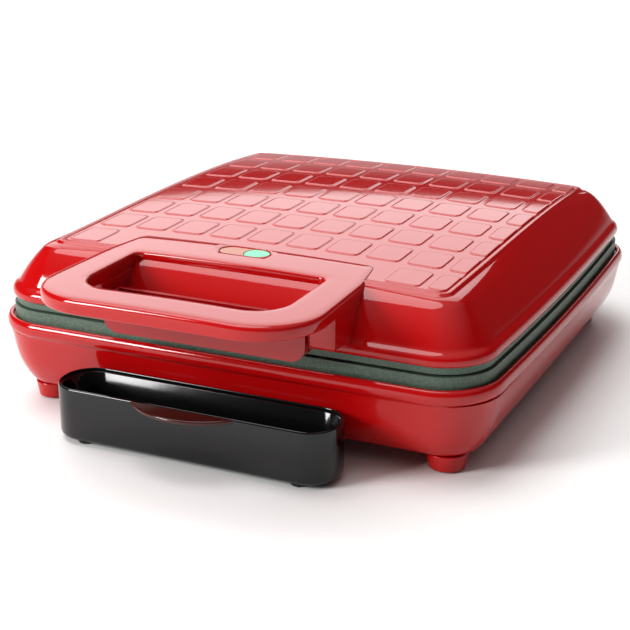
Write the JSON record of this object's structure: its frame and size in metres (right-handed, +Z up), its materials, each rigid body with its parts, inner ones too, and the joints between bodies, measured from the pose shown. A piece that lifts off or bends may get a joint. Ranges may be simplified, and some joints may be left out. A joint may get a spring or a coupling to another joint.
{
  "type": "waffle maker",
  "caption": "Red plastic waffle maker: hinged crowned lid with loop handle and two lamps, dark nonstick plates, base on feet, and a black drip tray at the front.",
  "frame": {"origin": "on the table, under the middle of the object's overall box", "axes": "+Z up, the handle and drip tray face -Y, the hinge is at +Y, +X to the right seen from the front"},
  "size_m": [0.31, 0.397, 0.099],
  "materials": {
    "red_shell": "gloss",
    "red_handle": "gloss",
    "dark_red_guard": "gloss",
    "foot_rubber": "matte",
    "black_cover": "satin",
    "terminal_ceramic": "matte",
    "screw_steel": "satin",
    "nonstick_coating": "matte",
    "heater_sheath": "satin",
    "reflector_sheet": "satin",
    "lead_sleeve": "matte",
    "thermostat_case": "satin",
    "black_gland": "matte",
    "black_hinge": "satin",
    "pin_steel": "satin",
    "green_lens": "gloss",
    "amber_lens": "gloss",
    "lamp_glass": "clear",
    "black_holder": "satin",
    "tray_black": "gloss"
  },
  "bodies": {
    "base": {"base_shell": "red_shell", "foot_front_left": "red_shell", "foot_front_right": "red_shell", "foot_rear_left": "red_shell", "foot_rear_right": "red_shell", "rubber_pads": "foot_rubber", "bottom_cover": "black_cover", "terminal_block": "terminal_ceramic", "foot_screws": "screw_steel", "cover_screws": "screw_steel", "bracket_screws": "screw_steel", "lower_plate_screws": "screw_steel", "lower_plate": "nonstick_coating", "lower_heater": "heater_sheath", "lower_reflector": "reflector_sheet", "lower_leads": "lead_sleeve", "thermostat": "thermostat_case", "thermal_fuse": "thermostat_case", "cord_gland": "black_gland", "hinge_bracket_left": "black_hinge", "hinge_bracket_right": "black_hinge", "hinge_pin_left": "pin_steel", "hinge_pin_right": "pin_steel"},
    "lid": {"lid_shell": "red_shell", "handle": "red_handle", "finger_guard": "dark_red_guard", "green_lens": "green_lens", "amber_lens": "amber_lens", "indicator_lamps": "lamp_glass", "lamp_holder": "black_holder", "lid_arm_left": "black_hinge", "lid_arm_right": "black_hinge", "handle_screws": "screw_steel", "arm_screws": "screw_steel", "guard_screws": "screw_steel", "upper_plate_screws": "screw_steel", "upper_plate": "nonstick_coating", "upper_heater": "heater_sheath", "upper_reflector": "reflector_sheet", "upper_leads": "lead_sleeve", "lid_terminal_block": "terminal_ceramic"},
    "tray": {"drip_tray": "tray_black"}
  },
  "joints": [
    {"name": "lid_hinge", "type": "hinge", "parent": "base", "child": "lid", "pos_m": [0, 0.1895, 0.06], "axis": [-1, 0, 0], "range_deg": [0, 100]},
    {"name": "drip_tray_slide", "type": "slide", "parent": "base", "child": "tray", "axis": [0, -1, 0], "range_m": [0, 0.06]}
  ]
}
